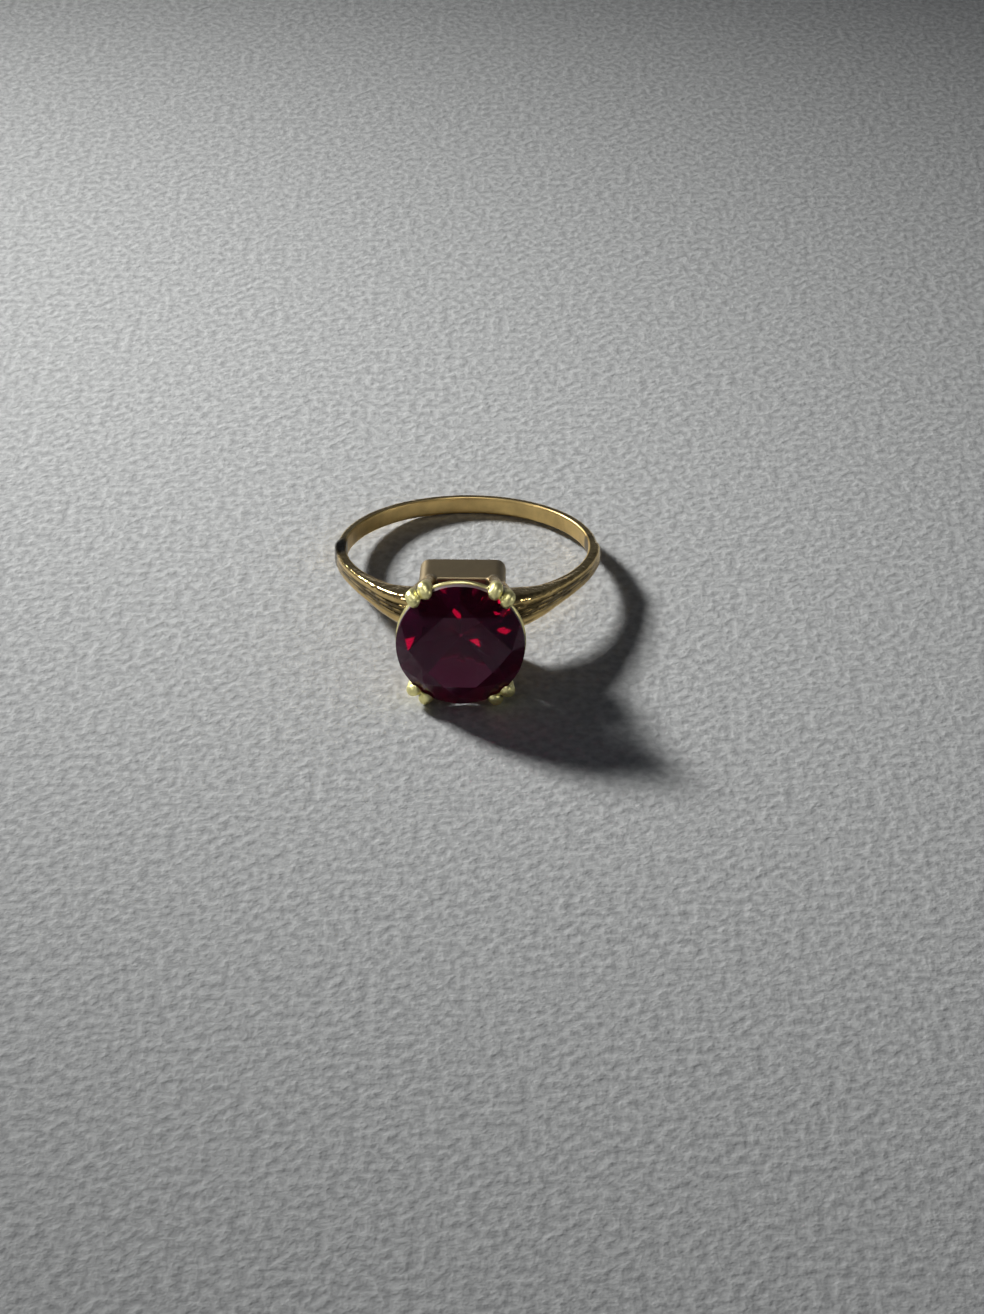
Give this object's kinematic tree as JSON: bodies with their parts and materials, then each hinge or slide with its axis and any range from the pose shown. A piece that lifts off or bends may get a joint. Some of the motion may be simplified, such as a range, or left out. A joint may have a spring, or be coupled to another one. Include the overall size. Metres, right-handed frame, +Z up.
{
  "type": "ruby solitaire ring",
  "caption": "Yellow gold solitaire ring: a large round faceted ruby in paired claws on a square box head, with fluted shoulders and a plain narrow band, resting on its side.",
  "frame": {"origin": "middle of the ring's overall box in plan, on the surface that the ring rests on", "axes": "+X across the hoop, +Y from the stone towards the back of the band, +Z up from the surface"},
  "size_m": [0.0174, 0.0242, 0.0083],
  "materials": {
    "gold": "polished yellow gold, lightly worn",
    "ruby": "polished facets, deep red, with a frosted girdle"
  },
  "bodies": {
    "root": {"gold_mount": "gold", "ruby": "ruby"}
  },
  "joints": []
}
